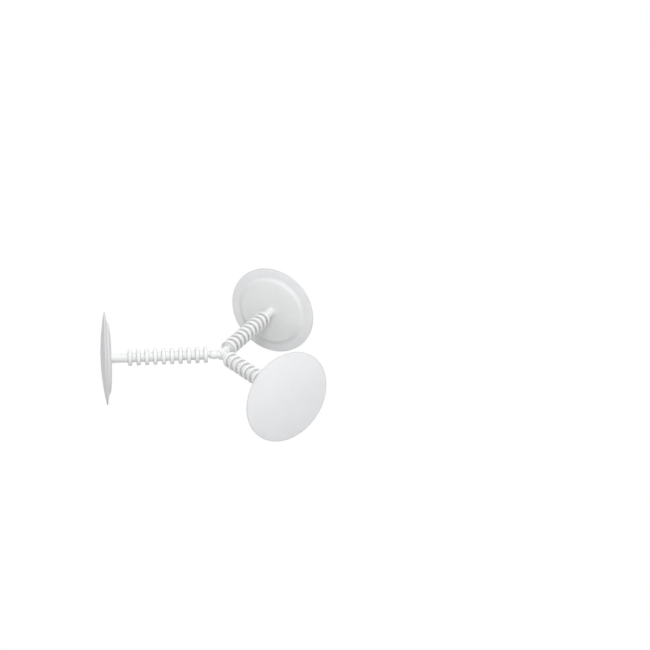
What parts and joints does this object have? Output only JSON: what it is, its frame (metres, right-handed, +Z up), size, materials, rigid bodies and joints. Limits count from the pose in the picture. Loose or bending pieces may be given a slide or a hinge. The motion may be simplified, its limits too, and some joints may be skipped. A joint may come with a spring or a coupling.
{
  "type": "push-in cover plug set",
  "caption": "Cover plugs with shallow domed caps and ring-finned shanks, moulded nose to nose on a small break-off hub.",
  "frame": {"origin": "middle of the break-off hub, which is the centre of mass of the whole set", "axes": "+Z up the hub's post, square to the three plugs; the left plug points along -X, the rear one to 60 degrees and the front one to -60 degrees from +X"},
  "size_m": [0.0752, 0.085, 0.032],
  "materials": {
    "white_plastic": "satin white injection-moulded plastic"
  },
  "bodies": {
    "sprue": {"hub": "white_plastic"},
    "left_plug": {"left_nose": "white_plastic", "left_shank": "white_plastic", "left_seat": "white_plastic", "left_cap": "white_plastic"},
    "rear_plug": {"rear_nose": "white_plastic", "rear_shank": "white_plastic", "rear_seat": "white_plastic", "rear_cap": "white_plastic"},
    "front_plug": {"front_nose": "white_plastic", "front_shank": "white_plastic", "front_seat": "white_plastic", "front_cap": "white_plastic"}
  },
  "joints": [
    {"name": "left_pull_off", "type": "slide", "parent": "sprue", "child": "left_plug", "axis": [-1, 0, 0], "range_m": [0, 0.045]},
    {"name": "rear_pull_off", "type": "slide", "parent": "sprue", "child": "rear_plug", "axis": [0.5, 0.866, 0], "range_m": [0, 0.045]},
    {"name": "front_pull_off", "type": "slide", "parent": "sprue", "child": "front_plug", "axis": [0.5, -0.866, 0], "range_m": [0, 0.045]}
  ]
}
